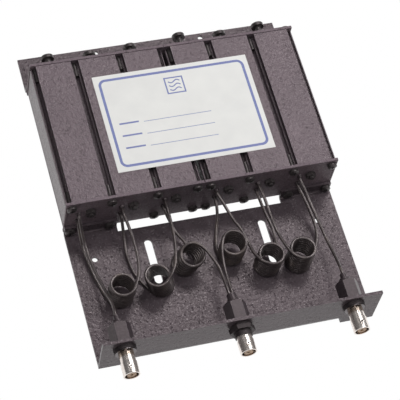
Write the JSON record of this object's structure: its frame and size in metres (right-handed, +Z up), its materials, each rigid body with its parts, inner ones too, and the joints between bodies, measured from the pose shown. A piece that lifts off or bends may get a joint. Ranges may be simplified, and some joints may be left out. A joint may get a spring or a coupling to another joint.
{
  "type": "mobile duplexer",
  "caption": "Flat cavity duplexer: two extruded helical resonator housings with tuning screws behind, a front tray with bayonet jacks and a coiled coax harness, and a rear mounting flange.",
  "frame": {"origin": "centre of the object's outline, on the surface that it stands on", "axes": "+X to the right along the row of cavities, +Y from the jacks to the tuning screws, +Z up"},
  "size_m": [0.1676, 0.2314, 0.0333],
  "materials": {
    "tray_paint": "dark brownish grey hammertone paint",
    "housing_paint": "dark brownish grey hammertone paint",
    "plate_paint": "dark grey textured paint",
    "label_film": "off-white film with a printed blue border",
    "bright_nickel": "bright nickel plating",
    "tan_insulator": "tan moulded insulator",
    "gold_contact": "plated contact",
    "black_hardware": "black finish",
    "cable_jacket": "dark braided coax jacket",
    "black_screw": "black oxide",
    "copper_wire": "bare copper wire",
    "former_plastic": "natural moulded plastic"
  },
  "bodies": {
    "chassis": {"front_tray": "tray_paint", "rear_bracket": "tray_paint", "left_cavity_housing": "housing_paint", "right_cavity_housing": "housing_paint", "front_end_plate": "plate_paint", "rear_end_plate": "plate_paint", "label": "label_film", "left_bnc_shell": "bright_nickel", "middle_bnc_shell": "bright_nickel", "right_bnc_shell": "bright_nickel", "left_bnc_insulator": "tan_insulator", "middle_bnc_insulator": "tan_insulator", "right_bnc_insulator": "tan_insulator", "bnc_contacts": "gold_contact", "left_connector_body": "black_hardware", "middle_connector_body": "black_hardware", "right_connector_body": "black_hardware", "lock_washers": "black_hardware", "mounting_nuts": "black_hardware", "middle_hex_nut": "black_hardware", "middle_sleeve": "black_hardware", "cable_ferrules": "black_hardware", "port_bushings": "black_hardware", "left_connector_lead": "cable_jacket", "coil_lead_1": "cable_jacket", "coil_lead_2": "cable_jacket", "coil_lead_3": "cable_jacket", "coil_lead_4": "cable_jacket", "coil_lead_5": "cable_jacket", "coil_lead_6": "cable_jacket", "right_connector_lead": "cable_jacket", "tuning_lock_nuts": "black_screw", "trimmer_nuts": "black_screw", "resonator_1": "copper_wire", "resonator_2": "copper_wire", "resonator_3": "copper_wire", "resonator_4": "copper_wire", "resonator_5": "copper_wire", "resonator_6": "copper_wire", "resonator_formers": "former_plastic", "coupling_taps": "copper_wire", "front_plate_screws": "black_screw", "tray_tab_screws": "black_screw", "rear_plate_screws": "black_screw", "bracket_screws": "black_screw"},
    "tuning_screw_1": {"tuning_screw_1": "black_screw"},
    "tuning_screw_2": {"tuning_screw_2": "black_screw"},
    "tuning_screw_3": {"tuning_screw_3": "black_screw"},
    "tuning_screw_4": {"tuning_screw_4": "black_screw"},
    "tuning_screw_5": {"tuning_screw_5": "black_screw"},
    "tuning_screw_6": {"tuning_screw_6": "black_screw"},
    "trimmer_screw_1": {"trimmer_screw_1": "black_screw"},
    "trimmer_screw_2": {"trimmer_screw_2": "black_screw"},
    "trimmer_screw_3": {"trimmer_screw_3": "black_screw"},
    "trimmer_screw_4": {"trimmer_screw_4": "black_screw"},
    "trimmer_screw_5": {"trimmer_screw_5": "black_screw"},
    "trimmer_screw_6": {"trimmer_screw_6": "black_screw"}
  },
  "joints": [
    {"name": "tuning_slide_1", "type": "slide", "parent": "chassis", "child": "tuning_screw_1", "axis": [0, 1, 0], "range_m": [-0.004, 0.004]},
    {"name": "tuning_slide_2", "type": "slide", "parent": "chassis", "child": "tuning_screw_2", "axis": [0, 1, 0], "range_m": [-0.004, 0.004]},
    {"name": "tuning_slide_3", "type": "slide", "parent": "chassis", "child": "tuning_screw_3", "axis": [0, 1, 0], "range_m": [-0.004, 0.004]},
    {"name": "tuning_slide_4", "type": "slide", "parent": "chassis", "child": "tuning_screw_4", "axis": [0, 1, 0], "range_m": [-0.004, 0.004]},
    {"name": "tuning_slide_5", "type": "slide", "parent": "chassis", "child": "tuning_screw_5", "axis": [0, 1, 0], "range_m": [-0.004, 0.004]},
    {"name": "tuning_slide_6", "type": "slide", "parent": "chassis", "child": "tuning_screw_6", "axis": [0, 1, 0], "range_m": [-0.004, 0.004]},
    {"name": "trimmer_turn_1", "type": "hinge", "parent": "chassis", "child": "trimmer_screw_1", "pos_m": [-0.06842, -0.0093, 0.022], "axis": [0, -1, 0], "range_deg": [-180, 180]},
    {"name": "trimmer_turn_2", "type": "hinge", "parent": "chassis", "child": "trimmer_screw_2", "pos_m": [-0.0425, -0.0093, 0.022], "axis": [0, -1, 0], "range_deg": [-180, 180]},
    {"name": "trimmer_turn_3", "type": "hinge", "parent": "chassis", "child": "trimmer_screw_3", "pos_m": [-0.01657, -0.0093, 0.022], "axis": [0, -1, 0], "range_deg": [-180, 180]},
    {"name": "trimmer_turn_4", "type": "hinge", "parent": "chassis", "child": "trimmer_screw_4", "pos_m": [0.01578, -0.0093, 0.022], "axis": [0, -1, 0], "range_deg": [-180, 180]},
    {"name": "trimmer_turn_5", "type": "hinge", "parent": "chassis", "child": "trimmer_screw_5", "pos_m": [0.0417, -0.0093, 0.022], "axis": [0, -1, 0], "range_deg": [-180, 180]},
    {"name": "trimmer_turn_6", "type": "hinge", "parent": "chassis", "child": "trimmer_screw_6", "pos_m": [0.06763, -0.0093, 0.022], "axis": [0, -1, 0], "range_deg": [-180, 180]}
  ]
}
